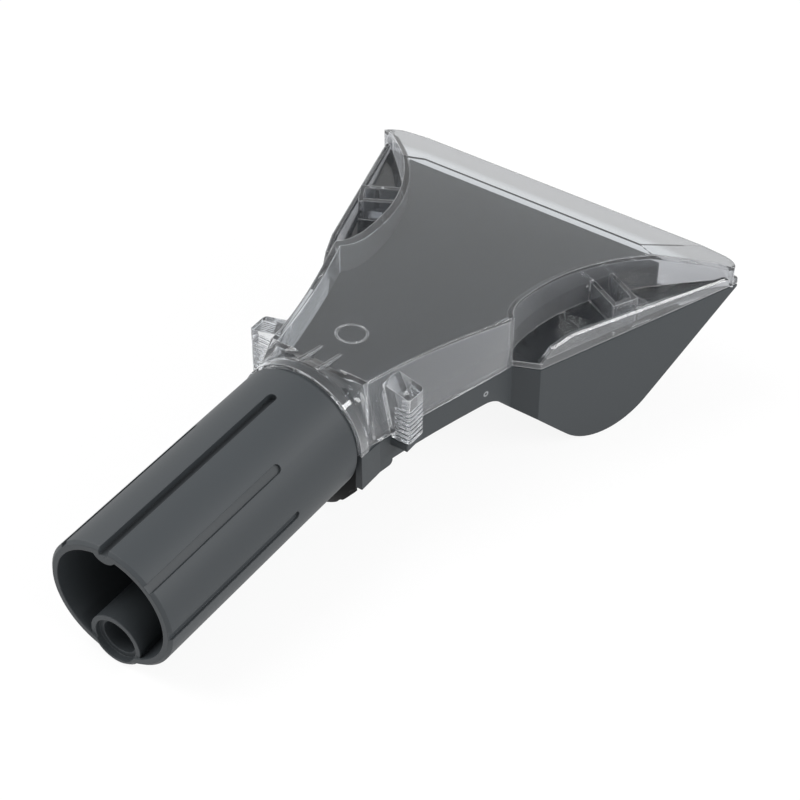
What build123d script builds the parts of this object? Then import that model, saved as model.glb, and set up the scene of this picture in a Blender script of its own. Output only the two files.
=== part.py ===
from build123d import *
import math
import os

# Vacuum upholstery nozzle: a grey moulded body with a round socket tube, and a clear cover that
# snaps on over it and makes the roof of the suction channel. Lengths are in millimetres.
# The tool is drawn with its tube axis along +Y, mouth at Y = 0, working side down, and is laid
# down on its cheeks and its tube mouth at the end.

# Socket tube
tube_od = 40.5
tube_wall = 2.5
tube_length = 82.0
mouth_chamfer = 0.9
rib_radius = 4.2
rib_height = 2.2
long_groove_length = 72.0
long_groove_width = 3.0
long_groove_depth = 2.2
short_groove_length = 55.0
short_groove_width = 2.6
short_groove_depth = 0.9
groove_pitch = 45.0

# Spray line along the bottom of the tube
boss_od = 16.6
boss_axis_drop = 14.0
boss_recess = 0.5
line_bore = 10.6
line_counterbore = 13.6
line_counterbore_depth = 1.6

# Spray stub, union nut, tip and seal under the neck
stub_od = 15.0
stub_length = 8.5
stub_bore = 5.0
stub_axis_drop = 16.0
stub_angle = 15.0
nut_od = 28.0
nut_rear_od = 19.0
nut_start = 4.2
nut_grip = 3.5
nut_front_wall = 2.0
nut_flutes = 14
flute_radius = 1.4
flute_out = 0.6
thread_clearance = 0.15
tip_stem_d = 8.0
tip_stem_length = 5.0
tip_flange_length = 1.6
tip_slit_width = 1.0
tip_slit_depth = 1.6
tip_orifice = 1.6
seal_bore = 8.0
seal_height = 1.5

# Neck, where the tube's end, the neck block and the cover's arched rim meet
tube_gap = 1.5
rim_length = 3.5
rim_thickness = 1.4
fit_clearance = 0.2
neck_half = 20.75
neck_top_half = 16.7
rear_slope = 5.5
block_length = 14.0
block_bottom = -13.8
block_radius = 1.5
fin_half = 3.3
fin_length = 8.0
fin_thickness = 0.9

# Cover and deck, seen from above
flare_length = 51.8
kink_half = 32.2
kink_step = 7.8
kink_run = 3.6
waist_half = 28.7
waist_run = 10.0
wing_length = 80.4
lip_half = 66.3
lip_corner_radius = 6.5
pocket_end_side = 4.8
pocket_end_back = 7.0
flare_rear_slope = 0.15
flare_foot_slope = 0.27
flare_top_slope = 0.49
kink_way = (-0.75, 0.6)
waist_way_in = (-0.05, 1)
waist_way_out = (0.02, 1)
pocket_way = (0.72, 0.7)

# Cover and deck, seen from the side
plate_rear_z = 18.4
crease_back = 19.5
crease_z = 5.4
lip_z = -2.2
crease_side = 26.3
lip_bend_side = 14.3
lip_corner_drop = 1.2
plate_rear_slope = 0.085
plate_front_slope = 0.165
cover_wall = 2.0
cover_round = 0.8
parting_rear_z = -1.2
parting_tip_z = -9.6
tip_back = 2.0
tip_nose = 1.2
deck_z = 1.8
deck_front_z = 0.8
deck_front_back = 18.7
deck_side = 19.8
deck_notch = 1.6
deck_notch_side = 9.5
ramp_length = 26.0
ramp_wall = 3.3
parting_groove = 0.45

# Wing trays of the cover
tray_floor = 2.0
sill_wall = 2.0
sill_height = 8.2
sill_front_height = 3.6
sill_tip_height = 1.8
sill_rise = 11.0
sill_knee_run = 3.85
sill_knee_height = 5.9
sill_bend = 2.0
sill_chamfer = 0.5
sill_lean = 0.3

# Body skirts, cheeks and slot wall
body_wall = 2.2
skirt_depth = 9.8
heel_back = 6.5
heel_radius = 9.0
cheek_rear_slope = 47.0
cheek_front_slope = 40.5
keel_radius = 22.0
slot_wall_lean = 18.0
slot_wall_depth = 17.0

# Latch tabs of the cover and the ledges under them
tab_start = 13.1
tab_length = 7.4
tab_outer_half = 28.0
tab_bottom = -2.8
tab_top = 13.4
tab_peak = 15.8
tab_gap = 0.4
tab_pad_half = 23.0
tab_round = 1.2
tab_rib_pitch = 1.65
tab_rib_depth = 0.6
tab_ribs = 7
ledge_gap = 0.6
ledge_thickness = 2.4
ledge_half = 27.2

# Snap bosses in the wing trays, with barbed legs through the body's shoulders
boss_run = 34.4
boss_wall_share = 0.277
boss_turn = 28.0
boss_depth = 10.5
boss_length = 8.5
boss_height = 7.6
boss_wall = 1.5
boss_web = 7.5
leg_inset = 3.0
leg_width = 4.0
leg_length = 5.5
leg_depth = 6.5
barb = 0.9
leg_clearance = 0.4

# Round mark on the top plate
mark_run = 15.8
mark_radius = 4.8
mark_line = 0.6
mark_depth = 0.3

# Stations and levels that follow from the sizes above
tube_r = tube_od / 2
bore_r = tube_r - tube_wall
neck_y = tube_length + tube_gap
rim_end_y = neck_y + rim_length
plate_y = rim_end_y + rear_slope
kink_y = plate_y + flare_length
wing_y = kink_y + kink_run
waist_y = kink_y + waist_run
lip_y = kink_y + wing_length
crease_y = lip_y - crease_back
pocket_end_y = lip_y - pocket_end_back
tip_y = lip_y - tip_back
deck_front_y = lip_y - deck_front_back
pocket_end_half = lip_half - pocket_end_side
crease_half = lip_half - crease_side
lip_bend_half = lip_half - lip_bend_side
deck_half = lip_half - deck_side
deck_notch_half = deck_half - deck_notch_side
boss_wall_half = waist_half + boss_wall_share * (pocket_end_half - waist_half)
cheek_half = kink_half + kink_step
cheek_slope = (lip_half - cheek_half) / (tip_y - wing_y)
rim_r = neck_half - rim_thickness
collar_r = rim_r - fit_clearance
lean = (neck_half - neck_top_half) / (plate_rear_z - parting_rear_z)
parting_slope = (parting_tip_z - parting_rear_z) / (tip_y - neck_y)
margin = 20.0
floor_z = parting_tip_z - 2 * margin
low_z = parting_tip_z - margin
high_z = plate_rear_z + margin
wide = lip_half + margin
far_y = lip_y + margin
nut_end = stub_length + seal_height + tip_flange_length + nut_front_wall
nut_shoulder = nut_end - nut_grip
nut_bore_r = stub_od / 2 + thread_clearance
from_base = (Align.CENTER, Align.CENTER, Align.MIN)


def parting_z(y):
    """Height of the parting plane between cover and body."""
    return parting_rear_z + parting_slope * (y - neck_y)


def across(face, half_width=wide):
    """A prism across X over a side view that is drawn in the YZ plane."""
    return extrude(Pos(-half_width, 0, 0) * face, amount=2 * half_width, dir=(1, 0, 0))


def side_prism(points, half_width=wide):
    """A prism across X whose side view, in (Y, Z), is the given polygon."""
    return across(make_face(Plane.YZ * Polyline(*points, close=True)), half_width)


def between(y_start, y_end):
    """Everything between two stations."""
    return side_prism([(y_start, floor_z), (y_end, floor_z), (y_end, high_z), (y_start, high_z)])


def below_parting(offset):
    """Everything that lies below the parting plane, moved by an offset."""
    points = [
        (-margin, parting_z(-margin) + offset),
        (far_y, parting_z(far_y) + offset),
        (far_y, floor_z - margin),
        (-margin, floor_z - margin),
    ]
    return side_prism(points)


def symmetric(right_half):
    """The face between a right-hand outline, running from X = 0 to X = 0, and its mirror image."""
    return make_face(Curve() + right_half + mirror(Curve() + right_half, about=Plane.YZ))


def plan_prism(face, low=floor_z, high=high_z):
    """A vertical prism over a face that is drawn in the XY plane."""
    return extrude(Pos(0, 0, low) * face, amount=high - low, dir=(0, 0, 1))


def along_y(radius, start, end, drop=0.0):
    """A round bar along the tube's direction, below its axis by a drop."""
    bar = Cylinder(radius, end - start, align=from_base)
    return Pos(0, start, -drop) * Rot(-90, 0, 0) * bar


def both_sides(piece):
    """A right-hand piece and its mirror image."""
    return piece + mirror(piece, about=Plane.YZ)


def neck_width(z):
    """Half width of the neck at a height: its walls lean in towards the top."""
    return neck_half - lean * (z - parting_rear_z)


def flare(half_rear, half_kink, z, end_y):
    """The flaring side of the neck in plan, opening faster towards the top."""
    rise = (z - parting_rear_z) / (plate_rear_z - parting_rear_z)
    end_slope = flare_foot_slope + (flare_top_slope - flare_foot_slope) * rise
    ways = ((flare_rear_slope, 1), (end_slope, 1))
    return Spline((half_rear, plate_y), (half_kink, end_y), tangents=ways)


def roof_outline(z, inset):
    """Plan outline of the channel roof at one height: neck flare, waist, pocket wall and lip."""
    rear = (neck_width(z) - inset, plate_y)
    kink = (kink_half - inset, kink_y)
    waist = (waist_half - inset, waist_y)
    pocket_end = (pocket_end_half - inset, pocket_end_y)
    side_half = lip_half - inset
    outline = [
        Line((0, plate_y), rear),
        flare(rear[0], kink[0], z, kink_y),
        Spline(kink, waist, tangents=(kink_way, waist_way_in)),
        Spline(waist, pocket_end, tangents=(waist_way_out, pocket_way)),
        Polyline(pocket_end, (side_half, pocket_end_y + cover_wall), (side_half, far_y), (0, far_y)),
    ]
    return symmetric(outline)


def lip_frame():
    """Everything behind the lip's front edge and its rounded corners."""
    length = lip_y + margin
    plan = Pos(0, lip_y - length / 2) * Rectangle(2 * lip_half, length)
    return plan_prism(fillet(plan.vertices().group_by(Axis.Y)[-1], lip_corner_radius))


def roof_block(inset, drop):
    """The channel roof as a solid: leaning walls, cut to the plate, lip and corner facets."""
    walls = loft([Pos(0, 0, z) * roof_outline(z, inset) for z in (low_z, high_z)], ruled=True)
    plate_start = (plate_y, plate_rear_z - drop)
    plate_end = (crease_y, crease_z - drop)
    lip_slope = (lip_z - crease_z) / crease_back
    plate_ways = ((1, -plate_rear_slope), (1, -plate_front_slope))
    plate = Spline(plate_start, plate_end, tangents=plate_ways)
    frame = Polyline(
        plate_end,
        (far_y, crease_z - drop + lip_slope * (far_y - crease_y)),
        (far_y, low_z),
        (plate_y, low_z),
        plate_start,
    )
    under_plate = make_face(Plane.YZ * (Curve() + [plate, frame]))
    block = walls & across(under_plate)
    for side in (1, -1):
        origin = Vector(side * crease_half, crease_y, crease_z - drop)
        bend = Vector(side * lip_bend_half, lip_y, lip_z - drop) - origin
        corner = Vector(side * lip_half, lip_y, lip_z - lip_corner_drop - drop) - origin
        facet = Plane(origin, x_dir=bend, z_dir=corner.cross(bend) * side)
        block -= facet * Pos(0, 0, margin) * Box(4 * wide, 4 * wide, 2 * margin)
    return block


def round_roof(block):
    """Rounds the two flaring edges where the top plate meets the neck's side walls."""
    flares = block.edges().filter_by(GeomType.BSPLINE).filter_by(
        lambda edge: plate_y < edge.center().Y < kink_y and edge.center().Z > crease_z
    )
    return fillet(flares, cover_round)


def neck_section(y, round_r, inset, drop, square):
    """Section of the cover's neck: an arch at the rim, a leaning box where the top plate starts."""
    top = plate_rear_z - drop
    corner_x = neck_width(plate_rear_z) - inset
    angle = math.atan2(top, corner_x)
    if square:
        foot_x = neck_width(low_z) - inset
        hip = (neck_width(0) - inset, 0)
        shoulder = (corner_x, top)
        side = Line(hip, shoulder)
        roof = Line(shoulder, (-corner_x, top))
    else:
        foot_x = round_r
        hip = (round_r, 0)
        shoulder = (round_r * math.cos(angle), round_r * math.sin(angle))
        middle = (round_r * math.cos(angle / 2), round_r * math.sin(angle / 2))
        side = ThreePointArc(hip, middle, shoulder)
        roof = ThreePointArc(shoulder, (0, round_r), (-shoulder[0], shoulder[1]))
    right = [Line((foot_x, low_z), hip), side]
    left = mirror(Curve() + right, about=Plane.YZ)
    ring = Curve() + right + [roof] + left + [Line((foot_x, low_z), (-foot_x, low_z))]
    return Plane((0, y, 0), x_dir=(1, 0, 0), z_dir=(0, -1, 0)) * make_face(ring)


def neck_block(round_r, inset, drop, y_start):
    """The cover's neck as a solid: a round rim that turns into the flat top plate."""
    arch = neck_section(rim_end_y, round_r, inset, drop, False)
    box = neck_section(plate_y, round_r, inset, drop, True)
    rim_face = neck_section(y_start, round_r, inset, drop, False)
    rim = extrude(rim_face, amount=rim_end_y - y_start, dir=(0, 1, 0))
    return rim + loft([arch, box])


def body_outline(inset, y_start):
    """Plan outline of the body below the parting plane: neck, kink and flaring cheeks."""
    turn = math.atan2(kink_run, kink_step)
    inner_kink_y = kink_y + inset * (1 - math.sin(turn)) / math.cos(turn)
    cheek_inset = inset * math.hypot(1, cheek_slope)
    front_y = tip_y + margin
    outline = [
        Polyline((0, y_start), (neck_half - inset, y_start), (neck_half - inset, plate_y)),
        flare(neck_half - inset, kink_half - inset, parting_rear_z, inner_kink_y),
        Polyline(
            (kink_half - inset, inner_kink_y),
            (cheek_half - cheek_inset + cheek_slope * inset, wing_y + inset),
            (lip_half - cheek_inset + cheek_slope * (front_y - tip_y), front_y),
            (0, front_y),
        ),
    ]
    return symmetric(outline)


def tab_block():
    """The right-hand latch tab: a ribbed finger pad with a pitched top, on the cover's side wall."""
    start = neck_y + tab_start
    root = neck_half - cover_wall
    pad_section = make_face(
        Polyline(
            (root, tab_bottom),
            (tab_outer_half, tab_bottom),
            (tab_outer_half, tab_top),
            (root, tab_peak),
            close=True,
        )
    )
    section_plane = Plane((0, start, 0), x_dir=(1, 0, 0), z_dir=(0, -1, 0))
    tab = extrude(section_plane * pad_section, amount=tab_length, dir=(0, 1, 0))
    tab = fillet(tab.edges().filter_by(Axis.Z).group_by(Axis.X)[-1], tab_round)
    middle_y = start + tab_length / 2
    core_half = tab_outer_half - tab_rib_depth
    groove = Pos(tab_pad_half, middle_y) * Box(
        2 * (tab_outer_half - tab_pad_half),
        2 * tab_length,
        tab_rib_pitch / 2,
        align=(Align.MIN, Align.CENTER, Align.CENTER),
    )
    groove -= Pos(0, middle_y) * Box(2 * core_half, tab_length - 2 * tab_rib_depth, tab_rib_pitch)
    for i in range(tab_ribs):
        tab -= Pos(0, 0, tab_bottom + (i + 1) * tab_rib_pitch) * groove
    return tab - (plan_prism(body_outline(-tab_gap, rim_end_y)) & below_parting(tab_gap))


def boss_frame():
    """The right-hand snap boss's own frame: X out of the pocket wall, Y along it, on the parting plane."""
    y = wing_y + boss_run
    return Pos(boss_wall_half, y, parting_z(y)) * Rot(0, 0, -boss_turn)


def snap_boss():
    """The right-hand snap boss: an open-topped box against the pocket wall, with a web ahead of it."""
    top = tray_floor + boss_height
    block = Pos(0, boss_length / 2, 0) * Box(2 * boss_depth, boss_length, 2 * top)
    inside_length = boss_length - 2 * boss_wall
    inside = Pos(-boss_wall, boss_length / 2, tray_floor + top) * Box(2 * boss_depth, inside_length, 2 * top)
    root_y = boss_length - boss_wall
    web_view = [(root_y, 0), (boss_length + boss_web, 0), (boss_length + boss_web, tray_floor), (root_y, top)]
    web = Pos(boss_depth / 2, 0, 0) * side_prism(web_view, boss_wall / 2)
    return boss_frame() * (block - inside + web)


def snap_leg():
    """The barbed leg below the right-hand snap boss, through a hole in the body's shoulder."""
    right = boss_depth - leg_inset
    left = right - leg_width
    under = -body_wall - 2 * leg_clearance
    section = make_face(
        Polyline(
            (left, tray_floor / 2),
            (right, tray_floor / 2),
            (right, under),
            (right + barb, under),
            (right, -leg_depth),
            (left, -leg_depth),
            close=True,
        )
    )
    plane = Plane((0, (boss_length - leg_length) / 2, 0), x_dir=(1, 0, 0), z_dir=(0, -1, 0))
    return boss_frame() * extrude(plane * section, amount=leg_length, dir=(0, 1, 0))


def leg_hole():
    """The hole in the body's shoulder that the right-hand leg snaps through."""
    middle = boss_depth - leg_inset - leg_width / 2 + barb / 2
    width = leg_width + barb + 2 * leg_clearance
    hole = Box(width, leg_length + 2 * leg_clearance, 4 * body_wall)
    return boss_frame() * Pos(middle, boss_length / 2, 0) * hole


def rear_fin():
    """A small fin that stiffens the step from the arched rim down to the top plate."""
    end_y = plate_y + fin_length
    foot_z = plate_rear_z - cover_wall / 2
    side_view = [(neck_y + rim_length / 2, foot_z), (rim_end_y, neck_half), (end_y, foot_z)]
    return Pos(fin_half, 0, 0) * side_prism(side_view, fin_thickness / 2)


def tray_sill():
    """The right-hand tray's outer sill: a low wall along the cheek, with a bevelled top."""
    stretch = math.hypot(1, cheek_slope)
    knee = (stretch * sill_knee_run, parting_z(wing_y) + sill_knee_height)
    shoulder = (stretch * sill_rise, parting_z(wing_y + sill_rise) + sill_height)
    front = (stretch * (pocket_end_y - wing_y), parting_z(pocket_end_y) + sill_front_height)
    end = stretch * (tip_y + sill_wall - wing_y)
    points = [
        (0, low_z),
        (0, parting_z(wing_y) + tray_floor),
        knee,
        shoulder,
        front,
        (end, parting_tip_z + sill_tip_height),
        (end, low_z),
    ]
    view = Plane((cheek_half, wing_y, 0), x_dir=(cheek_slope, 1, 0), z_dir=(1, -cheek_slope, 0))
    face = make_face(Polyline(*points, close=True))
    for corner in (knee, shoulder, front):
        face = fillet(face.vertices().sort_by_distance(corner)[0], sill_bend)
    wall = extrude(view * face, amount=-sill_wall)
    crests = wall.edges().filter_by(
        lambda edge: edge.center().Z > parting_tip_z and abs(edge.tangent_at(0.5).dot(view.x_dir)) > sill_lean
    )
    return chamfer(crests, sill_chamfer)


def clear_cover():
    """The clear moulding: roof shell, wing trays, latch tabs and snap posts."""
    outer = neck_block(neck_half, 0, 0, neck_y) + (round_roof(roof_block(0, 0)) & lip_frame())
    inner = neck_block(rim_r, cover_wall, cover_wall, neck_y - margin) + roof_block(cover_wall, cover_wall)
    wings = plan_prism(body_outline(0, neck_y)) & between(kink_y, tip_y)
    trays = (wings & below_parting(tray_floor)) - outer
    sills = (both_sides(tray_sill()) & wings) - inner
    bosses = (both_sides(snap_boss()) & wings) - outer
    mark_y = plate_y + mark_run
    ring = Pos(0, mark_y) * (Circle(mark_radius) - Circle(mark_radius - mark_line))
    mark = (plan_prism(ring, 0) & outer) - roof_block(0, mark_depth)
    cover = outer - inner + trays + sills + bosses - mark
    cover -= below_parting(0)
    cover += both_sides(rear_fin() - inner)
    return cover + both_sides(tab_block() - inner) + both_sides(snap_leg())


def tongue_outline(inset):
    """Plan outline of the raised deck, inside the cover's walls."""
    gap = cover_wall + fit_clearance + inset
    front = deck_front_y - inset
    neck_half_width = neck_width(deck_z) - gap
    neck_part = Pos(0, (rim_end_y + plate_y) / 2) * Rectangle(2 * neck_half_width, plate_y - rim_end_y)
    frame_length = front - rim_end_y - inset
    frame = Pos(0, front - frame_length / 2) * Rectangle(2 * (deck_half - inset), frame_length)
    notch_back = front - deck_notch
    notch_half = deck_notch_half - deck_notch
    notch = make_face(
        Polyline(
            (-deck_notch_half, front),
            (-notch_half, notch_back),
            (notch_half, notch_back),
            (deck_notch_half, front),
            close=True,
        )
    )
    return (roof_outline(deck_z, gap) + neck_part) & (frame - notch)


def keel_points():
    """Side-view corners of the cheek: where the skirt's heel starts, and where its two edges meet."""
    rear = -math.tan(math.radians(cheek_rear_slope))
    front = math.tan(math.radians(cheek_front_slope))
    heel_y = kink_y - heel_back
    heel_z = parting_z(heel_y) - skirt_depth
    nose_z = parting_tip_z - tip_nose
    keel_y = (heel_z - nose_z + front * tip_y - rear * heel_y) / (front - rear)
    return (heel_y, heel_z), (keel_y, heel_z + rear * (keel_y - heel_y))


def cheek_profile():
    """Side view of skirts and cheeks: parting plane on top, working edge and rounded keel below."""
    heel, keel = keel_points()
    block_y = neck_y + block_length
    points = [
        (neck_y, parting_z(neck_y)),
        (tip_y, parting_tip_z),
        (tip_y, parting_tip_z - tip_nose),
        keel,
        heel,
        (block_y, parting_z(block_y) - skirt_depth),
        (block_y, block_bottom),
        (neck_y, block_bottom),
    ]
    face = make_face(Plane.YZ * Polyline(*points, close=True))
    block_corner = (block_y, block_bottom)
    for corner, radius in ((keel, keel_radius), (heel, heel_radius), (block_corner, block_radius)):
        vertex = face.vertices().sort_by_distance((0, *corner))[0]
        face = fillet(vertex, radius)
    return face


def rest_angle():
    """The tilt at which the tool lies on its tube mouth and on the rounded keels of its cheeks."""
    keel = keel_points()[1]
    rear = math.radians(180 - cheek_rear_slope)
    front = math.radians(cheek_front_slope)
    bisector = (rear + front) / 2
    reach = keel_radius / math.sin((rear - front) / 2)
    centre_y = keel[0] + reach * math.cos(bisector) - mouth_chamfer
    centre_z = keel[1] + reach * math.sin(bisector) + boss_axis_drop + boss_od / 2
    to_centre = math.atan2(centre_z, centre_y)
    return math.degrees(math.asin(keel_radius / math.hypot(centre_y, centre_z)) - to_centre)


def spray_frame():
    """The spray stub's own frame: origin on the tube's end, Z along the jet."""
    angle = math.radians(stub_angle)
    jet = (0, math.cos(angle), -math.sin(angle))
    return Plane((0, tube_length, -stub_axis_drop), x_dir=(1, 0, 0), z_dir=jet)


def jet_bar(radius, start, end):
    """A round bar on the spray axis."""
    bar = Cylinder(radius, end - start, align=from_base)
    return spray_frame() * Pos(0, 0, start) * bar


def socket_tube():
    """The socket tube with its spray-line boss, inner rib and outer grooves."""
    outside = along_y(tube_r, 0, tube_length) + along_y(boss_od / 2, 0, tube_length, boss_axis_drop)
    mouth = outside.faces().sort_by(Axis.Y)[0]
    outside = chamfer(mouth.outer_wire().edges(), mouth_chamfer)
    rib_axis = bore_r - rib_height + rib_radius
    bore = along_y(bore_r, 0, tube_length) - along_y(rib_radius, 0, tube_length, -rib_axis)
    tube = outside - (bore - along_y(boss_od / 2, boss_recess, tube_length, boss_axis_drop))
    grooves = [(0, long_groove_length, long_groove_width, long_groove_depth)]
    for turn in (-2, -1, 1, 2):
        grooves.append((turn * groove_pitch, short_groove_length, short_groove_width, short_groove_depth))
    for angle, length, width, depth in grooves:
        run = length - width / 2
        slot = Pos(0, run / 2, 0) * Box(width, run, 2 * depth)
        slot += Pos(0, run, 0) * Cylinder(width / 2, 2 * depth)
        tube -= Rot(0, angle, 0) * Pos(0, 0, tube_r) * slot
    return tube


def nozzle_body():
    """The grey moulding: socket tube, spray line, neck, deck, skirts and cheeks."""
    hull = plan_prism(body_outline(0, neck_y)) & across(cheek_profile())
    rim = plan_prism(body_outline(-parting_groove, neck_y)) - plan_prism(body_outline(parting_groove, neck_y))
    hull -= rim & between(rim_end_y, far_y) & (below_parting(parting_groove) - below_parting(-parting_groove))
    hollow = plan_prism(body_outline(body_wall, neck_y - margin)) & below_parting(-body_wall)
    deck_top = [
        (rim_end_y, deck_z),
        (kink_y, deck_z),
        (deck_front_y, deck_front_z),
        (deck_front_y, parting_z(deck_front_y) - body_wall),
        (rim_end_y, parting_z(rim_end_y) - body_wall),
    ]
    deck_core = [
        (rim_end_y, deck_z - body_wall),
        (kink_y, deck_z - body_wall),
        (deck_front_y, deck_front_z - body_wall),
        (deck_front_y, floor_z),
        (rim_end_y, floor_z),
    ]
    tongue = plan_prism(tongue_outline(0)) & side_prism(deck_top)
    core = plan_prism(tongue_outline(body_wall)) & side_prism(deck_core)
    window = plan_prism(roof_outline(deck_z, cover_wall + fit_clearance)) & between(deck_front_y, far_y)
    body = hull - hollow - window + tongue - core
    foot_y = deck_front_y + slot_wall_depth * math.tan(math.radians(slot_wall_lean))
    foot_z = deck_front_z - slot_wall_depth
    slot_wall = side_prism(
        [
            (deck_front_y, deck_front_z),
            (foot_y, foot_z),
            (foot_y - body_wall, foot_z),
            (deck_front_y - body_wall, deck_front_z),
        ]
    )
    between_cheeks = plan_prism(body_outline(body_wall / 2, neck_y)) & below_parting(-body_wall / 2)
    tongue_width = Pos(0, deck_front_y, 0) * Box(2 * (deck_half - body_wall), 4 * margin, 4 * margin)
    body += slot_wall & (between_cheeks + tongue_width)
    ramp_y = rim_end_y - ramp_length
    ramp = side_prism(
        [
            (ramp_y, -bore_r),
            (rim_end_y, deck_z),
            (rim_end_y + body_wall, deck_z),
            (rim_end_y + body_wall, deck_z - body_wall),
            (ramp_y + ramp_wall, -bore_r),
        ]
    )
    body += ramp & along_y(bore_r + fit_clearance, 0, rim_end_y + body_wall)
    collar = along_y(collar_r, tube_length - tube_wall, rim_end_y) - along_y(bore_r, 0, rim_end_y)
    collar -= Pos(0, rim_end_y, block_bottom - margin) * Box(4 * tube_r, 4 * margin, 2 * margin)
    body += collar + socket_tube()
    body += jet_bar(stub_od / 2, -stub_od / 2, stub_length)
    body -= along_y(line_bore / 2, 0, tube_length - stub_od / 2, boss_axis_drop)
    body -= along_y(line_counterbore / 2, 0, boss_recess + line_counterbore_depth, boss_axis_drop)
    body -= jet_bar(stub_bore / 2, -stub_od, stub_length)
    ledge_root = neck_half - body_wall / 2
    ledge_top = Pos(ledge_root, neck_y + tab_start, tab_bottom - ledge_gap)
    from_corner = (Align.MIN, Align.MIN, Align.MAX)
    ledge = Box(ledge_half - ledge_root, tab_length, ledge_thickness, align=from_corner)
    body += both_sides(ledge_top * ledge)
    body -= both_sides(leg_hole())
    return body


def union_nut():
    """The black union nut over the stub's end: a fluted grip with a tapered skirt behind it."""
    nut = jet_bar(nut_od / 2, nut_shoulder, nut_end)
    skirt = Cone(nut_rear_od / 2, nut_od / 2, nut_shoulder - nut_start, align=from_base)
    nut += spray_frame() * Pos(0, 0, nut_start) * skirt
    nut -= jet_bar(nut_bore_r, nut_start, nut_end - nut_front_wall)
    nut -= jet_bar(tip_stem_d / 2 + fit_clearance, nut_start, nut_end)
    for i in range(nut_flutes):
        turn = Rot(0, 0, 360 * i / nut_flutes) * Pos(nut_od / 2 + flute_out, 0, nut_start)
        flute = Cylinder(flute_radius, nut_end - nut_start, align=from_base)
        nut -= spray_frame() * turn * flute
    return nut


def spray_tip():
    """The flat-jet mouthpiece: flange inside the nut, stem through it, slit across the jet."""
    flange_at = stub_length + seal_height
    stem_end = nut_end - nut_front_wall + tip_stem_length
    tip = jet_bar(stub_od / 2, flange_at, flange_at + tip_flange_length)
    tip += jet_bar(tip_stem_d / 2, flange_at, stem_end)
    slit = Pos(0, 0, stem_end) * Box(2 * tip_stem_d, tip_slit_width, 2 * tip_slit_depth)
    return tip - spray_frame() * slit - jet_bar(tip_orifice / 2, flange_at, stem_end)


def tip_seal():
    """The flat rubber ring between stub and spray tip."""
    end = stub_length + seal_height
    return jet_bar(stub_od / 2, stub_length, end) - jet_bar(seal_bore / 2, stub_length, end)


pieces = {
    "nozzle_body": nozzle_body(),
    "clear_cover": clear_cover(),
    "union_nut": union_nut(),
    "spray_tip": spray_tip(),
    "tip_seal": tip_seal(),
}

lay_down = Rot(rest_angle(), 0, 0)
box = Compound(children=[lay_down * piece for piece in pieces.values()]).bounding_box()
to_origin = Pos(-box.center().X, -box.center().Y, -box.min.Z)

os.makedirs("parts", exist_ok=True)
for name, piece in pieces.items():
    laid = to_origin * lay_down * piece
    laid.label = name
    export_step(laid, f"parts/{name}.step")
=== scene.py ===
"""Upholstery nozzle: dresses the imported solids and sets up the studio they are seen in."""

import math

import bmesh
import bpy
from bpy.props import FloatProperty, FloatVectorProperty, PointerProperty
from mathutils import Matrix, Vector


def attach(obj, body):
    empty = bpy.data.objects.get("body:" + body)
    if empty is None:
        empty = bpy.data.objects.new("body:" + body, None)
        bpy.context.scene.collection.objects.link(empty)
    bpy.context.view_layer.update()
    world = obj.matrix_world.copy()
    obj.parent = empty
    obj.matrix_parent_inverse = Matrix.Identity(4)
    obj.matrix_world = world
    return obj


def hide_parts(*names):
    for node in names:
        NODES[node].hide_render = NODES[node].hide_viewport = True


bl_info = {
    "name": "Upholstery Nozzle",
    "version": (1, 0, 0),
    "blender": (4, 5, 0),
    "location": "3D View > Sidebar > Nozzle",
    "description": "Finishes for a clear-topped upholstery nozzle, and the studio around it",
    "category": "Object",
}

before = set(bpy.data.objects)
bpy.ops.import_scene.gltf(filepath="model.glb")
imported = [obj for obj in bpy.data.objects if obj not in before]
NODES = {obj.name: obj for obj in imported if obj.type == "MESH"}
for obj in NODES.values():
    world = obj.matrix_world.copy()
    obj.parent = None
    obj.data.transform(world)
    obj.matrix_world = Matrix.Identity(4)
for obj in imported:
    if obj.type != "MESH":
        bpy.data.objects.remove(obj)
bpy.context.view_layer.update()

WELD = 1e-6
KEY_STEPS = 1e6
KNIFE_ANGLE = math.radians(120)
CORNER_OUTWARD = (0.6, -0.45, 0.66)
GRAIN_ROUGHNESS = 0.08
PLASTIC_IOR = 1.5
WAVE_STRENGTH = 0.3
WAVE_TINT = 0.1
WAVE_ROUGHNESS = 0.02
BEVEL_SAMPLES = 8
AIM = (0, 0, 0.03)
KEY_PLACE, KEY_SIZE = (-0.6, -0.4, 0.9), (0.9, 0.9)
RIM_PLACE, RIM_SIZE = (0.9, 0.1, 0.65), (1.4, 0.2)
SENSOR_WIDTH = 36.0


class Wire:
    """An output socket. Arithmetic on it adds Math nodes to its graph."""

    def __init__(self, graph, socket):
        self.graph = graph
        self.socket = socket

    def math(self, operation, left, right):
        return self.graph.node("ShaderNodeMath", {"operation": operation}, {0: left, 1: right})

    def __add__(self, other):
        return self.math("ADD", self, other)

    def __radd__(self, other):
        return self.math("ADD", other, self)

    def __sub__(self, other):
        return self.math("SUBTRACT", self, other)

    def __rsub__(self, other):
        return self.math("SUBTRACT", other, self)

    def __mul__(self, other):
        return self.math("MULTIPLY", self, other)

    def __rmul__(self, other):
        return self.math("MULTIPLY", other, self)


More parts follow.
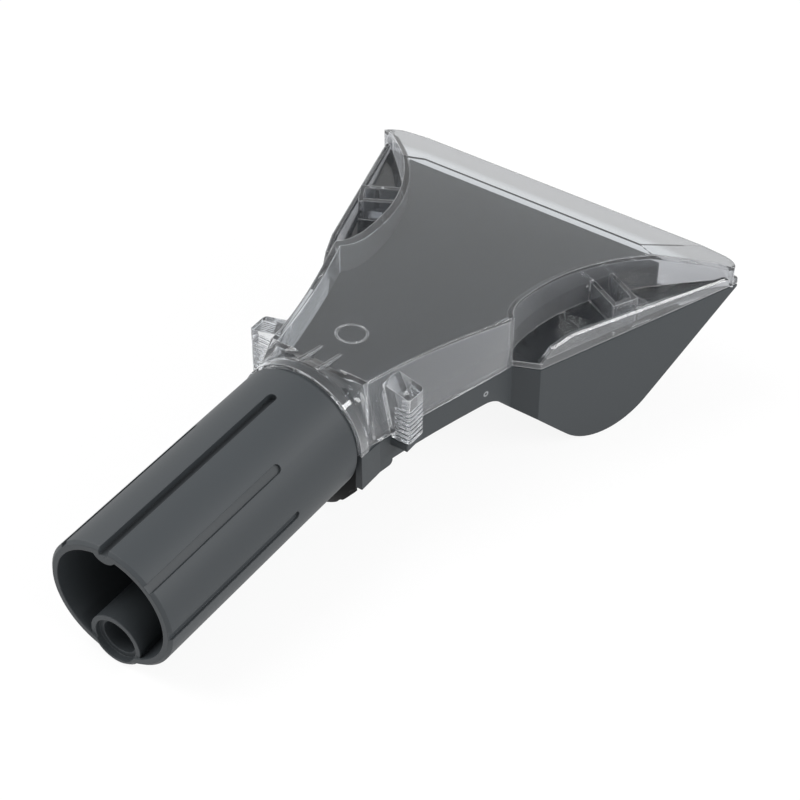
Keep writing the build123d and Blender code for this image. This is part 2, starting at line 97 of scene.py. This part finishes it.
class Graph:
    """A node tree that is written as calls: one for each node."""

    MIX_COLOUR = {"data_type": "RGBA"}
    MIX_FACTOR, MIX_A, MIX_B, MIX_RESULT = 0, 6, 7, 2

    def __init__(self, tree):
        self.tree = tree
        tree.nodes.clear()

    def node(self, kind, settings=None, inputs=None, output=0):
        made = self.tree.nodes.new(kind)
        for name, value in (settings or {}).items():
            setattr(made, name, value)
        for name, value in (inputs or {}).items():
            if isinstance(value, Wire):
                self.tree.links.new(value.socket, made.inputs[name])
            else:
                made.inputs[name].default_value = value
        return Wire(self, made.outputs[output]) if len(made.outputs) else made

    def place(self):
        """Where a point lies on the object, in metres."""
        return self.node("ShaderNodeTexCoord", output=3)

    def noise(self, scale, detail=2.0, roughness=0.5):
        inputs = {"Vector": self.place(), "Scale": scale, "Detail": detail, "Roughness": roughness}
        return self.node("ShaderNodeTexNoise", {}, inputs)

    def mix(self, factor, low, high):
        inputs = {self.MIX_FACTOR: factor, self.MIX_A: low, self.MIX_B: high}
        return self.node("ShaderNodeMix", self.MIX_COLOUR, inputs, self.MIX_RESULT)

    def rounded(self, radius):
        """The surface's normal, with edges rounded by the given radius."""
        return self.node("ShaderNodeBevel", {"samples": BEVEL_SAMPLES}, {"Radius": radius})

    def bump(self, height, strength, distance, normal):
        inputs = {"Height": height, "Strength": strength, "Distance": distance, "Normal": normal}
        return self.node("ShaderNodeBump", {}, inputs)

    def clamp(self, value):
        return self.node("ShaderNodeClamp", {}, {"Value": value})

    def finish(self, **sockets):
        """The surface: one Principled shader with the given sockets, into the output."""
        named = {name.replace("_", " "): value for name, value in sockets.items()}
        surface = self.node("ShaderNodeBsdfPrincipled", {}, named)
        self.node("ShaderNodeOutputMaterial", {}, {"Surface": surface})


def new_material(name):
    material = bpy.data.materials.new(name)
    material.use_nodes = True
    return material, Graph(material.node_tree)


def opaque(colour):
    return (*colour, 1.0)


def shade(colour, factor):
    return opaque([channel * factor for channel in colour])


def wear(obj, material):
    """Gives a piece one material all over."""
    obj.data.materials.clear()
    obj.data.materials.append(material)


def ring_mark(graph, mark):
    """One on a small ring around the mark's place, and nothing elsewhere."""
    inputs = {0: graph.place(), 1: mark.place}
    away = graph.node("ShaderNodeVectorMath", {"operation": "DISTANCE"}, inputs, 1)
    off_line = graph.node("ShaderNodeMath", {"operation": "ABSOLUTE"}, {0: away - mark.radius})
    return graph.clamp(1 - off_line * (1 / mark.width))


def moulded_plastic(name, finish, mark=None):
    """Satin moulded plastic: a fine grain, slow drifts of tone and gloss, and any mark."""
    material, graph = new_material(name)
    drift = graph.noise(finish.drift_scale, 3.0)
    grain = graph.noise(finish.grain_scale, 2.0, 0.6)
    darker, lighter = (shade(finish.colour, 1 + side * finish.drift) for side in (-1, 1))
    colour = graph.mix(drift, darker, lighter)
    if mark:
        colour = graph.mix(ring_mark(graph, mark), colour, opaque(mark.colour))
    spread = finish.roughness_spread * (drift - 0.5) + GRAIN_ROUGHNESS * (grain - 0.5)
    edge = graph.rounded(finish.edge)
    graph.finish(
        Base_Color=colour,
        Roughness=finish.roughness + spread,
        Normal=graph.bump(grain, finish.grain_strength, finish.grain_depth, edge),
        IOR=PLASTIC_IOR,
        Specular_IOR_Level=finish.specular,
    )
    return material


class MouldedFinish(bpy.types.PropertyGroup):
    """A moulded, opaque plastic or rubber."""

    colour: FloatVectorProperty(
        name="Colour", description="Tone of the plastic",
        subtype="COLOR", size=3, default=(0.032, 0.037, 0.041),
    )
    drift: FloatProperty(
        name="Tone drift", description="How far the tone wanders", default=0.06, subtype="FACTOR",
    )
    drift_scale: FloatProperty(
        name="Drift scale", description="Drifts for each metre", default=18.0,
    )
    roughness: FloatProperty(
        name="Roughness", description="Mean roughness", default=0.52, subtype="FACTOR",
    )
    specular: FloatProperty(
        name="Specular", description="Strength of the plastic's own gloss", default=0.35,
        subtype="FACTOR",
    )
    roughness_spread: FloatProperty(
        name="Gloss drift", description="How far the roughness wanders", default=0.1,
        subtype="FACTOR",
    )
    edge: FloatProperty(
        name="Edge", description="Radius that softens the edges", default=0.0004,
        subtype="DISTANCE", unit="LENGTH",
    )
    grain_scale: FloatProperty(
        name="Grain scale", description="Grains of the mould for each metre", default=1900.0,
    )
    grain_strength: FloatProperty(
        name="Grain strength", description="How strongly the grain shows", default=0.15,
        subtype="FACTOR",
    )
    grain_depth: FloatProperty(
        name="Grain depth", description="Height of the mould's grain", default=0.00006,
        subtype="DISTANCE", unit="LENGTH",
    )


class PaleRing(bpy.types.PropertyGroup):
    """A small pale ring painted on the body's side."""

    place: FloatVectorProperty(
        name="Place", description="Centre of the ring", subtype="TRANSLATION", size=3,
        unit="LENGTH", default=(0.0296, 0.024, 0.0289),
    )
    radius: FloatProperty(
        name="Radius", description="Radius of the ring", default=0.0007,
        subtype="DISTANCE", unit="LENGTH",
    )
    width: FloatProperty(
        name="Width", description="Half the width of its line", default=0.0004,
        subtype="DISTANCE", unit="LENGTH",
    )
    colour: FloatVectorProperty(
        name="Colour", description="Tone of the ring",
        subtype="COLOR", size=3, default=(0.3, 0.31, 0.32),
    )


class ClearFinish(bpy.types.PropertyGroup):
    """The clear moulding."""

    colour: FloatVectorProperty(
        name="Tint", description="Tint of the clear plate",
        subtype="COLOR", size=3, default=(0.56, 0.585, 0.61),
    )
    lip_colour: FloatVectorProperty(
        name="Lip tint", description="Tint of the thick front lip",
        subtype="COLOR", size=3, default=(0.4, 0.41, 0.42),
    )
    lip_start: FloatProperty(
        name="Lip start", description="Where the lip begins", default=0.096,
        subtype="DISTANCE", unit="LENGTH",
    )
    lip_blend: FloatProperty(
        name="Lip blend", description="Length of the change of tint", default=0.004,
        subtype="DISTANCE", unit="LENGTH",
    )
    edge_gain: FloatProperty(
        name="Edge gain", description="How fast an edge's mask rises", default=12.0,
    )
    edge_floor: FloatProperty(
        name="Edge floor", description="Part of the mask that plain faces lose", default=0.15,
    )
    coat_ior: FloatProperty(name="Edge IOR", description="Index of the edges' shine", default=3.5)
    plate_shine: FloatProperty(
        name="Plate shine", description="Share of that shine on level faces' edges", default=0.5,
        subtype="FACTOR",
    )
    wall_colour: FloatVectorProperty(
        name="Wall tint", description="Tint of the thinner walls",
        subtype="COLOR", size=3, default=(0.86, 0.87, 0.88),
    )
    wing_colour: FloatVectorProperty(
        name="Wing tint", description="Tint of the walls at the wings' tips",
        subtype="COLOR", size=3,
        default=(0.42, 0.43, 0.45),
    )
    wing_start: FloatProperty(
        name="Wing start", description="Where the walls' tint changes", default=0.035,
        subtype="DISTANCE", unit="LENGTH",
    )
    wing_blend: FloatProperty(
        name="Wing blend", description="Length of the change", default=0.02,
        subtype="DISTANCE", unit="LENGTH",
    )
    # This tone is both the haze's colour and the colour of the highlight painted along the edges.
    haze_and_highlight_colour: FloatVectorProperty(
        name="Haze colour", description="Tone of the haze",
        subtype="COLOR", size=3, default=(0.8, 0.82, 0.85),
    )
    haze: FloatProperty(
        name="Haze", description="Share of a flat face that scatters", default=0.008,
        subtype="FACTOR",
    )
    wall_haze: FloatProperty(
        name="Wall haze", description="Haze that upright walls add", default=0.085,
        subtype="FACTOR",
    )
    # The two edge settings paint a highlight: pale diffuse lines along every edge of the cover,
    # stronger on walls.
    plate_edge_highlight: FloatProperty(
        name="Plate edges", description="Haze at any edge", default=0.12, subtype="FACTOR",
    )
    wall_edge_highlight: FloatProperty(
        name="Wall edges", description="Haze that walls add there", default=0.03, subtype="FACTOR",
    )
    edge: FloatProperty(
        name="Edge", description="Radius that softens the edges", default=0.00045,
        subtype="DISTANCE", unit="LENGTH",
    )
    ior: FloatProperty(name="IOR", description="Index of refraction", default=1.45)
    roughness: FloatProperty(
        name="Roughness", description="Polish of the mould", default=0.02, subtype="FACTOR",
    )
    corner: FloatVectorProperty(
        name="Corner", description="Where the wall runs out at the neck",
        subtype="TRANSLATION", size=3,
        unit="LENGTH", default=(0.01345, -0.0231, 0.04865),
    )
    corner_reach: FloatProperty(
        name="Corner reach", description="How far the gap reaches", default=0.0025,
        subtype="DISTANCE", unit="LENGTH",
    )
    corner_wall: FloatProperty(
        name="Corner wall", description="Wall given to the corner", default=0.0006,
        subtype="DISTANCE", unit="LENGTH",
    )
    wave_scale: FloatProperty(
        name="Wave scale", description="Flow waves for each metre", default=45.0,
    )
    wave_depth: FloatProperty(
        name="Wave depth", description="Height of the flow waves", default=0.0001,
        subtype="DISTANCE", unit="LENGTH",
    )


class StudioSettings(bpy.types.PropertyGroup):
    """Floor, light and camera."""

    floor_size: FloatProperty(
        name="Floor", description="Side of the floor", default=6.0, unit="LENGTH",
    )
    floor_colour: FloatVectorProperty(
        name="Floor colour", description="Tone of the floor",
        subtype="COLOR", size=3, default=(0.86, 0.86, 0.86),
    )
    floor_white: FloatProperty(
        name="Floor white", description="Share of plain white that the camera sees", default=0.9,
        subtype="FACTOR",
    )
    sky: FloatProperty(name="Sky", description="Strength of the studio's even light", default=0.55)
    key_power: FloatProperty(
        name="Key", description="Power of the overhead softbox", default=12.0, unit="POWER",
    )
    rim_power: FloatProperty(
        name="Rim", description="Power of the side softbox", default=9.0, unit="POWER",
    )
    camera_place: FloatVectorProperty(
        name="Camera", description="Where the camera stands", subtype="TRANSLATION", size=3,
        unit="LENGTH", default=(0.27158, -0.42327, 0.3875),
    )
    camera_turn: FloatVectorProperty(
        name="Camera turn", description="Euler angles of the camera", subtype="EULER", size=3,
        default=(math.radians(54.2965), math.radians(-4.1921), math.radians(34.2522)),
    )
    lens: FloatProperty(name="Lens", description="Focal length in millimetres", default=94.86)


class NozzleSettings(bpy.types.PropertyGroup):
    """Everything that a user would change."""

    body: PointerProperty(type=MouldedFinish)
    mark: PointerProperty(type=PaleRing)
    nut: PointerProperty(type=MouldedFinish)
    tip: PointerProperty(type=MouldedFinish)
    seal: PointerProperty(type=MouldedFinish)
    cover: PointerProperty(type=ClearFinish)
    studio: PointerProperty(type=StudioSettings)


class NOZZLE_OT_dress_body(bpy.types.Operator):
    """Gives the grey moulding its satin plastic"""

    bl_idname = "nozzle.dress_body"
    bl_label = "Dress Body"

    def execute(self, context):
        settings = context.scene.nozzle
        wear(NODES["nozzle_body"], moulded_plastic("grey_moulding", settings.body, settings.mark))
        return {"FINISHED"}


class NOZZLE_OT_dress_spray(bpy.types.Operator):
    """Gives the union nut, the spray tip and the seal their finishes"""

    bl_idname = "nozzle.dress_spray"
    bl_label = "Dress Spray Parts"

    def execute(self, context):
        settings = context.scene.nozzle
        # The nut's near-black tone and low gloss are partly its own black plastic and partly
        # painted shade, standing in for the deep shade under the neck.
        settings.nut.colour = (0.004, 0.0042, 0.0045)
        settings.nut.specular = 0.12
        settings.nut.roughness = 0.6
        settings.tip.colour = (0.42, 0.42, 0.4)
        settings.seal.colour = (0.012, 0.012, 0.012)
        settings.seal.roughness = 0.75
        wear(NODES["union_nut"], moulded_plastic("black_moulding_and_painted_shade", settings.nut))
        wear(NODES["spray_tip"], moulded_plastic("pale_moulding", settings.tip))
        wear(NODES["tip_seal"], moulded_plastic("seal_rubber", settings.seal))
        return {"FINISHED"}


def knife_rim(skin, corners, reach):
    """The skin's open edges, within reach of the corners, where inner and outer face meet."""

    def near(edge):
        middle = (edge.verts[0].co + edge.verts[1].co) / 2
        return min((middle - corner).length for corner in corners) < reach

    def key(vertex):
        return tuple(round(axis * KEY_STEPS) for axis in vertex.co)

    whole = skin.copy()
    bmesh.ops.remove_doubles(whole, verts=whole.verts, dist=WELD)
    knife = [edge for edge in whole.edges if edge.calc_face_angle(0) > KNIFE_ANGLE and near(edge)]
    points = {key(vertex) for edge in knife for vertex in edge.verts}
    whole.free()
    open_edges = [edge for edge in skin.edges if edge.is_boundary]
    return [edge for edge in open_edges if all(key(vertex) in points for vertex in edge.verts)]


def closed_cover(finish):
    """The cover with its skin closed where the wall runs out, at the neck's two corners."""
    mesh = NODES["clear_cover"].data.copy()
    skin = bmesh.new()
    skin.from_mesh(mesh)
    across, along, up = finish.corner
    corners = [Vector((side * across, along, up)) for side in (-1, 1)]
    rim = knife_rim(skin, corners, finish.corner_reach)
    inner = {}
    for edge in rim:
        outward = Vector(CORNER_OUTWARD)
        outward.x = math.copysign(outward.x, edge.verts[0].co.x)
        if edge.link_faces[0].normal.dot(outward) < 0:
            inner.update({vertex: outward for vertex in edge.verts})
    for vertex, outward in inner.items():
        vertex.co -= finish.corner_wall * outward
    brink = list(dict.fromkeys(vertex for edge in rim for vertex in edge.verts))
    bmesh.ops.remove_doubles(skin, verts=brink, dist=WELD)
    kept = {vertex for vertex in brink if vertex.is_valid}
    open_edges = [edge for edge in skin.edges if edge.is_boundary]
    bmesh.ops.holes_fill(skin, edges=[edge for edge in open_edges if kept.issuperset(edge.verts)])
    skin.to_mesh(mesh)
    skin.free()
    cover = bpy.data.objects.new("closed_cover", mesh)
    bpy.context.scene.collection.objects.link(cover)
    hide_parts("clear_cover")
    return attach(cover, "root")


class NOZZLE_OT_dress_cover(bpy.types.Operator):
    """Gives the cover its clear plastic"""

    bl_idname = "nozzle.dress_cover"
    bl_label = "Dress Cover"

    def execute(self, context):
        finish = context.scene.nozzle.cover
        material, graph = new_material("clear_moulding")
        wave = graph.noise(finish.wave_scale, 2.0)
        rounded = graph.rounded(finish.edge)
        ripple = graph.bump(wave, WAVE_STRENGTH, finish.wave_depth, rounded)
        normal = graph.node("ShaderNodeNewGeometry", output=1)
        height = graph.node("ShaderNodeSeparateXYZ", {}, {0: normal}, 2)
        level = graph.node("ShaderNodeMath", {"operation": "ABSOLUTE"}, {0: height})
        upright = 1 - level
        both = {0: normal, 1: rounded}
        flat = graph.node("ShaderNodeVectorMath", {"operation": "DOT_PRODUCT"}, both, 1)
        edges = graph.clamp(finish.edge_gain * (1 - flat) - finish.edge_floor)
        forward = graph.node("ShaderNodeSeparateXYZ", {}, {0: graph.place()}, 1)
        lip = graph.clamp((forward - finish.lip_start) * (1 / finish.lip_blend))
        plate = graph.mix(lip, opaque(finish.colour), opaque(finish.lip_colour))
        wing = graph.clamp((forward - finish.wing_start) * (1 / finish.wing_blend))
        wall = graph.mix(wing, opaque(finish.wall_colour), opaque(finish.wing_colour))
        tint = graph.mix(level + WAVE_TINT * (wave - 0.5), wall, plate)
        glass = graph.node(
            "ShaderNodeBsdfPrincipled", {},
            {
                "Base Color": tint,
                "Roughness": finish.roughness + WAVE_ROUGHNESS * wave,
                "IOR": finish.ior,
                "Transmission Weight": 1.0,
                "Coat Weight": edges * (finish.plate_shine + (1 - finish.plate_shine) * upright),
                "Coat IOR": finish.coat_ior,
                "Normal": ripple,
            },
        )
        # The diffuse layer is partly haze and partly a painted highlight: along edges it adds pale
        # lines that stand in for the edges' highlights.
        haze_and_edge_highlight = graph.node("ShaderNodeBsdfDiffuse", {}, {"Color": opaque(finish.haze_and_highlight_colour)})
        painted_edge_highlight = edges * (finish.plate_edge_highlight + finish.wall_edge_highlight * upright)
        haze = finish.haze + finish.wall_haze * upright + painted_edge_highlight
        surface = graph.node("ShaderNodeMixShader", {}, {0: haze, 1: glass, 2: haze_and_edge_highlight})
        graph.node("ShaderNodeOutputMaterial", {}, {"Surface": surface})
        for piece in (NODES["clear_cover"], closed_cover(finish)):
            wear(piece, material)
        return {"FINISHED"}


def seen_ray(graph):
    """One for a ray from the camera, off a gloss or through a clear piece."""
    camera = graph.node("ShaderNodeLightPath")
    outputs = camera.socket.node.outputs
    glossy = Wire(graph, outputs["Is Glossy Ray"])
    through = Wire(graph, outputs["Is Transmission Ray"])
    sum_up = {"operation": "ADD", "use_clamp": True}
    return graph.node("ShaderNodeMath", sum_up, {0: camera + glossy, 1: through})


def softbox(name, place, size, power):
    """An elliptical lamp at a place, turned to the part."""
    light = bpy.data.lights.new(name, "AREA")
    light.shape = "ELLIPSE"
    light.size, light.size_y = size
    light.energy = power
    lamp = bpy.data.objects.new(name, light)
    lamp.location = place
    lamp.rotation_euler = (Vector(AIM) - Vector(place)).to_track_quat("-Z", "Y").to_euler()
    bpy.context.scene.collection.objects.link(lamp)


class NOZZLE_OT_set_stage(bpy.types.Operator):
    """Builds the floor, the light and the camera"""

    bl_idname = "nozzle.set_stage"
    bl_label = "Set Stage"

    def execute(self, context):
        scene = context.scene
        studio = scene.nozzle.studio
        half = studio.floor_size / 2
        mesh = bpy.data.meshes.new("floor")
        corners = [(-half, -half, 0), (half, -half, 0), (half, half, 0), (-half, half, 0)]
        mesh.from_pydata(corners, [], [(0, 1, 2, 3)])
        floor = bpy.data.objects.new("floor", mesh)
        scene.collection.objects.link(floor)
        material, graph = new_material("floor_paper")
        paper = graph.node("ShaderNodeBsdfDiffuse", {}, {"Color": opaque(studio.floor_colour)})
        white = graph.node("ShaderNodeEmission", {}, {"Color": opaque((1, 1, 1)), "Strength": 1.0})
        share = seen_ray(graph) * studio.floor_white
        surface = graph.node("ShaderNodeMixShader", {}, {0: share, 1: paper, 2: white})
        graph.node("ShaderNodeOutputMaterial", {}, {"Surface": surface})
        mesh.materials.append(material)

        world = bpy.data.worlds.new("studio")
        world.use_nodes = True
        graph = Graph(world.node_tree)
        seen = seen_ray(graph)
        strength = studio.sky + (1 - studio.sky) * seen
        light = {"Color": opaque((1, 1, 1)), "Strength": strength}
        sky = graph.node("ShaderNodeBackground", {}, light)
        graph.node("ShaderNodeOutputWorld", {}, {"Surface": sky})
        scene.world = world

        softbox("key_softbox", KEY_PLACE, KEY_SIZE, studio.key_power)
        softbox("rim_softbox", RIM_PLACE, RIM_SIZE, studio.rim_power)

        lens = bpy.data.cameras.new("camera")
        lens.sensor_width = SENSOR_WIDTH
        lens.lens = studio.lens
        camera = bpy.data.objects.new("camera", lens)
        camera.location = studio.camera_place
        camera.rotation_euler = studio.camera_turn
        scene.collection.objects.link(camera)
        scene.camera = camera
        scene.view_settings.view_transform = "Standard"
        return {"FINISHED"}


STEPS = (NOZZLE_OT_dress_body, NOZZLE_OT_dress_cover, NOZZLE_OT_dress_spray, NOZZLE_OT_set_stage)


class NOZZLE_PT_panel(bpy.types.Panel):
    """Lists the steps and their settings"""

    bl_idname = "NOZZLE_PT_panel"
    bl_label = "Upholstery Nozzle"
    bl_space_type = "VIEW_3D"
    bl_region_type = "UI"
    bl_category = "Nozzle"

    def draw(self, context):
        settings = context.scene.nozzle
        for step in STEPS:
            self.layout.operator(step.bl_idname)
        for group in (settings.body, settings.mark, settings.cover, settings.studio):
            column = self.layout.column(align=True)
            for name in group.bl_rna.properties.keys():
                if name not in ("rna_type", "name"):
                    column.prop(group, name)


GROUPS = (MouldedFinish, PaleRing, ClearFinish, StudioSettings, NozzleSettings)
CLASSES = (*GROUPS, *STEPS, NOZZLE_PT_panel)


def register():
    for cls in CLASSES:
        bpy.utils.register_class(cls)
    bpy.types.Scene.nozzle = PointerProperty(type=NozzleSettings)


def unregister():
    del bpy.types.Scene.nozzle
    for cls in reversed(CLASSES):
        bpy.utils.unregister_class(cls)


def main():
    register()
    bpy.ops.nozzle.dress_body()
    bpy.ops.nozzle.dress_cover()
    bpy.ops.nozzle.dress_spray()
    bpy.ops.nozzle.set_stage()


if __name__ == "__main__":
    main()
